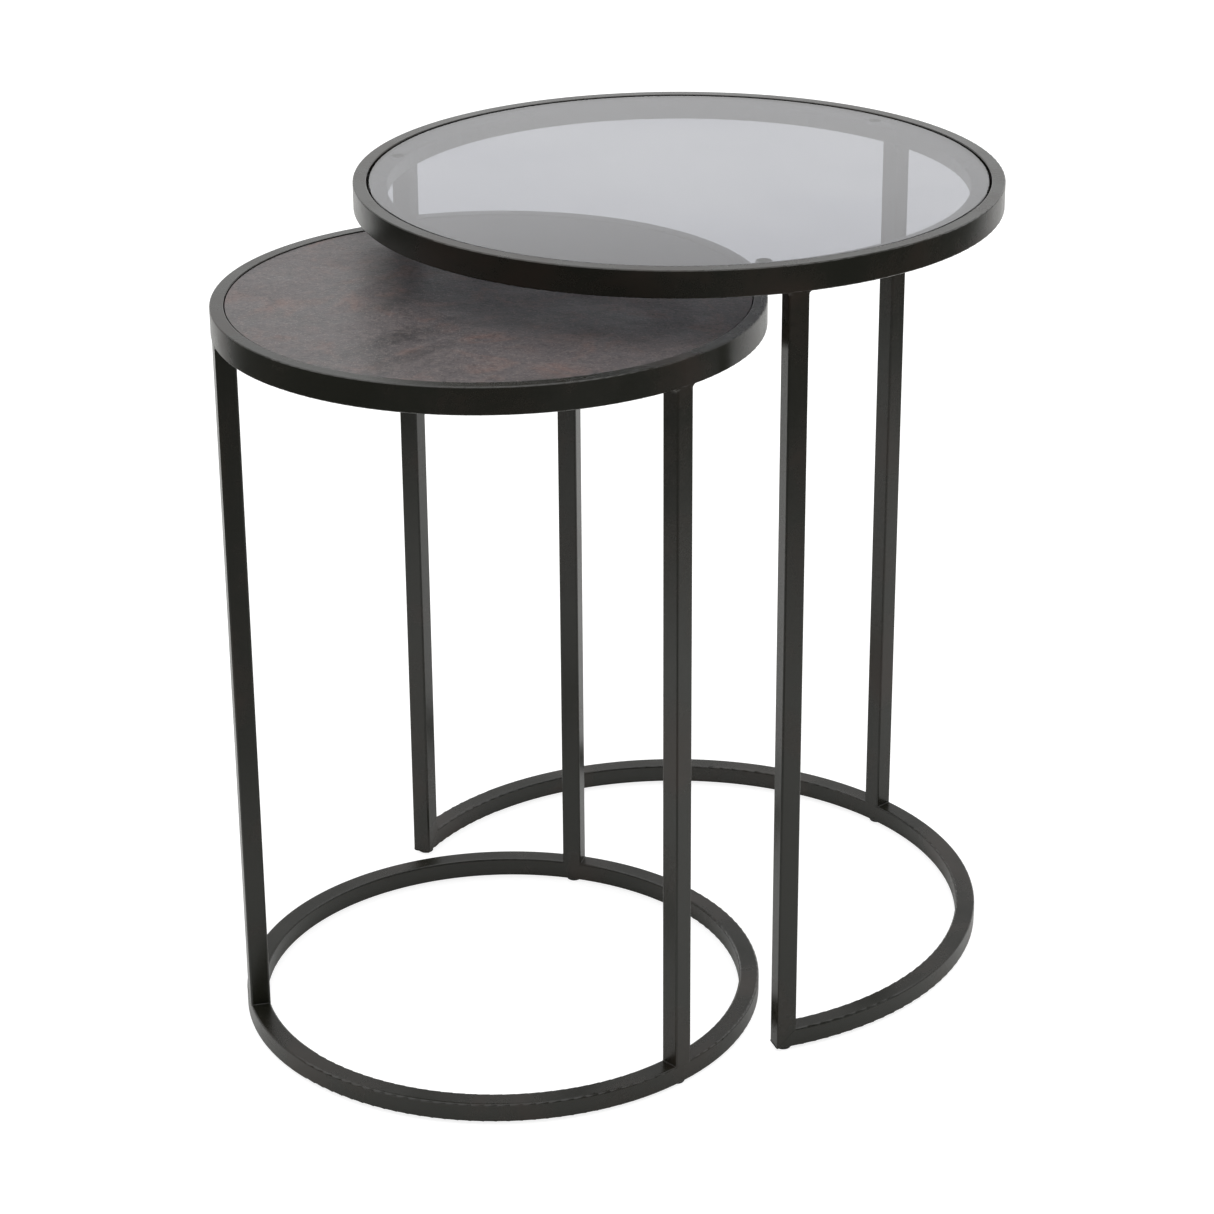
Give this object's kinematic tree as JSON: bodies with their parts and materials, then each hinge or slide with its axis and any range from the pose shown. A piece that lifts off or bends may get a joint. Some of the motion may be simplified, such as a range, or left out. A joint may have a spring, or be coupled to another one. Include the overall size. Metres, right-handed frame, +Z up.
{
  "type": "nesting tables",
  "caption": "Pair of round nesting side tables on square-tube frames: a glass-topped table on an open arc base, and a lower panelled one that slides in under it.",
  "frame": {"origin": "on the floor, at the middle of the outline of the two tables as they stand, the low one drawn 188.9 mm out of its nest", "axes": "+Z up, the low table is drawn out along -Y, +X to the right as seen from the open side of the tall table"},
  "size_m": [0.48, 0.626, 0.613],
  "materials": {
    "frame_paint": "satin dark bronze paint on welded steel tube",
    "tinted_glass": "clear grey-tinted float glass with polished edges",
    "patina_sheet": "mottled brown bronze patina, satin lacquered",
    "panel_board": "dark sealed fibreboard",
    "foot_plastic": "black moulded glide",
    "clear_pad": "clear soft bumper"
  },
  "bodies": {
    "tall_table": {"large_rim": "frame_paint", "large_glass_ledge": "frame_paint", "large_glass_pad_1": "clear_pad", "large_glass_pad_2": "clear_pad", "large_glass_pad_3": "clear_pad", "large_base_arc": "frame_paint", "large_rear_leg": "frame_paint", "large_left_leg": "frame_paint", "large_right_leg": "frame_paint", "large_rear_foot": "foot_plastic", "large_left_foot": "foot_plastic", "large_right_foot": "foot_plastic"},
    "low_table": {"small_rim": "frame_paint", "small_panel_ledge": "frame_paint", "small_panel_board": "panel_board", "small_panel_sheet": "patina_sheet", "small_base_ring": "frame_paint", "small_right_leg": "frame_paint", "small_rear_leg": "frame_paint", "small_left_leg": "frame_paint", "small_right_foot": "foot_plastic", "small_rear_foot": "foot_plastic", "small_left_foot": "foot_plastic"},
    "glass": {"large_glass": "tinted_glass"}
  },
  "joints": [
    {"name": "nest_slide", "type": "slide", "parent": "tall_table", "child": "low_table", "axis": [0, -1, 0], "range_m": [-0.1889, 0.26]},
    {"name": "glass_lift", "type": "slide", "parent": "tall_table", "child": "glass", "axis": [0, 0, 1], "range_m": [0, 0.08]}
  ]
}
